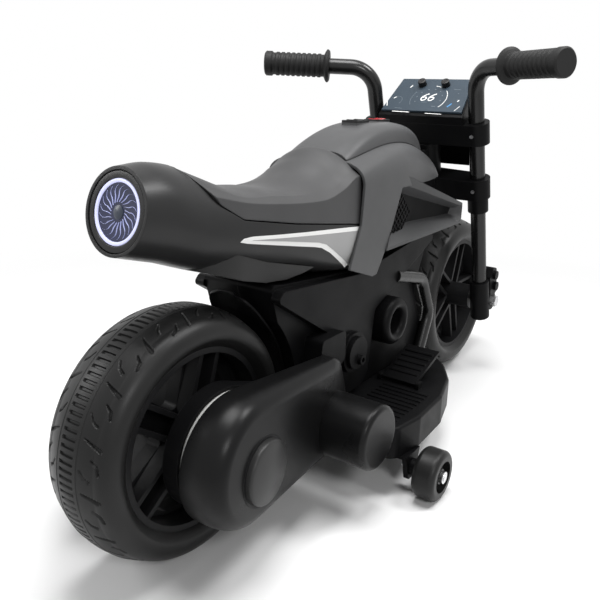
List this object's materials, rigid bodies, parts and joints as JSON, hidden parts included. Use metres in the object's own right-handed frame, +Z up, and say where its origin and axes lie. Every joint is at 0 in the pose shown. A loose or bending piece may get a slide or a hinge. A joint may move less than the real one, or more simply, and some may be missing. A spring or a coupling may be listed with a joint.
{
  "type": "kids electric motorbike",
  "caption": "Child's battery motorbike with training wheels, a geared rear wheel, turning fork and handlebars, pedal switch, rocker switches, dash and round tail lamp.",
  "frame": {"origin": "on the ground, midway between the two axles, on the centre plane", "axes": "+X forward, +Y to the rider's left, +Z up"},
  "size_m": [0.855, 0.4508, 0.501],
  "materials": {
    "black_plastic": "satin moulded black",
    "grey_plastic": "satin moulded mid grey",
    "seat_plastic": "fine grained black",
    "tyre_plastic": "matte black moulding",
    "red_plastic": "glossy red",
    "case_plastic": "light grey moulding",
    "gear_plastic": "natural white moulding",
    "black_tube": "gloss black paint",
    "bright_steel": "zinc plated",
    "battery_case": "dark grey case",
    "clear_lens": "clear moulding",
    "dash_print": "printed film",
    "knob_plastic": "glossy black",
    "grip_rubber": "matte black"
  },
  "bodies": {
    "chassis": {"body_shell_left": "black_plastic", "body_shell_right": "black_plastic", "tail_shell_left": "black_plastic", "tail_shell_right": "black_plastic", "seat": "seat_plastic", "tank_cover": "grey_plastic", "tank_lid": "grey_plastic", "intake_left": "black_plastic", "intake_right": "black_plastic", "intake_grilles": "black_plastic", "ring_covers": "black_plastic", "frame_tubes": "black_tube", "footboard_left": "black_plastic", "footboard_right": "black_plastic", "rear_fender": "black_plastic", "drive_cover": "black_plastic", "arm_cover": "black_plastic", "hub_caps": "black_plastic", "gearbox_inner_case": "case_plastic", "gearbox_outer_case": "case_plastic", "drive_motor": "bright_steel", "gear_pins": "bright_steel", "rear_axle": "bright_steel", "rear_axle_nuts": "bright_steel", "training_bolts": "bright_steel", "motor_pod": "black_plastic", "battery": "battery_case", "charge_port": "black_plastic", "tail_lens": "clear_lens", "tail_lamp": "black_plastic", "training_brackets": "black_plastic", "pedal_switch": "black_plastic"},
    "fork": {"lower_clamp": "black_plastic", "upper_clamp": "black_plastic", "steering_stem": "bright_steel", "fork_tubes": "black_tube", "fork_collars": "black_plastic", "fork_legs": "black_plastic", "handlebars": "black_tube", "grips": "grip_rubber", "dash_housing": "black_plastic", "dash_face": "dash_print", "headlamp_lens": "clear_lens", "fork_fasteners": "bright_steel", "front_axle": "bright_steel"},
    "front_wheel": {"front_tyre": "tyre_plastic", "front_rim": "black_plastic"},
    "rear_wheel": {"rear_tyre": "tyre_plastic", "rear_rim": "black_plastic", "wheel_gear": "gear_plastic"},
    "second_gear": {"reduction_gear_second": "gear_plastic"},
    "first_gear": {"reduction_gear_first": "gear_plastic"},
    "pinion": {"motor_pinion": "bright_steel"},
    "left_training_wheel": {"training_wheel_left": "tyre_plastic"},
    "right_training_wheel": {"training_wheel_right": "tyre_plastic"},
    "pedal": {"accelerator_pedal": "black_plastic"},
    "red_rocker": {"power_rocker": "red_plastic"},
    "black_rocker": {"direction_rocker": "black_plastic"},
    "left_button": {"dash_button_left": "knob_plastic"},
    "right_button": {"dash_button_right": "knob_plastic"}
  },
  "joints": [
    {"name": "steering", "type": "hinge", "parent": "chassis", "child": "fork", "pos_m": [0.2884, 0, 0.125], "axis": [-0.2807, 0, 0.9598], "range_deg": [-25, 25]},
    {"name": "front_wheel_spin", "type": "hinge", "parent": "fork", "child": "front_wheel", "pos_m": [0.3025, 0, 0.125], "axis": [0, 1, 0], "continuous": true},
    {"name": "rear_wheel_spin", "type": "hinge", "parent": "chassis", "child": "rear_wheel", "pos_m": [-0.3025, 0, 0.125], "axis": [0, 1, 0], "continuous": true},
    {"name": "second_gear_spin", "type": "hinge", "parent": "chassis", "child": "second_gear", "pos_m": [-0.23771, 0, 0.11241], "axis": [0, 1, 0], "continuous": true},
    {"name": "first_gear_spin", "type": "hinge", "parent": "chassis", "child": "first_gear", "pos_m": [-0.19501, 0, 0.10411], "axis": [0, 1, 0], "continuous": true},
    {"name": "motor_spin", "type": "hinge", "parent": "chassis", "child": "pinion", "pos_m": [-0.15231, 0, 0.09581], "axis": [0, 1, 0], "continuous": true},
    {"name": "left_training_wheel_spin", "type": "hinge", "parent": "chassis", "child": "left_training_wheel", "pos_m": [-0.08, 0.177, 0.0295], "axis": [0, 1, 0], "continuous": true},
    {"name": "right_training_wheel_spin", "type": "hinge", "parent": "chassis", "child": "right_training_wheel", "pos_m": [-0.08, -0.177, 0.0295], "axis": [0, 1, 0], "continuous": true},
    {"name": "pedal_press", "type": "hinge", "parent": "chassis", "child": "pedal", "pos_m": [0.004, -0.087, 0.091], "axis": [0, 1, 0], "range_deg": [0, 8], "stiffness_Nm_per_rad": 2, "springref_deg": -6.88},
    {"name": "power_switch", "type": "hinge", "parent": "chassis", "child": "red_rocker", "pos_m": [0.066, 0, 0.4055], "axis": [0, 1, 0], "range_deg": [-8, 8]},
    {"name": "direction_switch", "type": "hinge", "parent": "chassis", "child": "black_rocker", "pos_m": [0.013, 0, 0.4055], "axis": [0, 1, 0], "range_deg": [-8, 8]},
    {"name": "left_button_press", "type": "slide", "parent": "fork", "child": "left_button", "axis": [0.6508, 0, -0.7593], "range_m": [0, 0.0025], "stiffness_N_per_m": 400, "springref_m": -0.001},
    {"name": "right_button_press", "type": "slide", "parent": "fork", "child": "right_button", "axis": [0.6508, 0, -0.7593], "range_m": [0, 0.0025], "stiffness_N_per_m": 400, "springref_m": -0.001}
  ],
  "couplings": [
    {"joint": "second_gear_spin", "follows": "rear_wheel_spin", "ratio": -4.5},
    {"joint": "first_gear_spin", "follows": "rear_wheel_spin", "ratio": 17.25},
    {"joint": "motor_spin", "follows": "rear_wheel_spin", "ratio": -66.125}
  ]
}
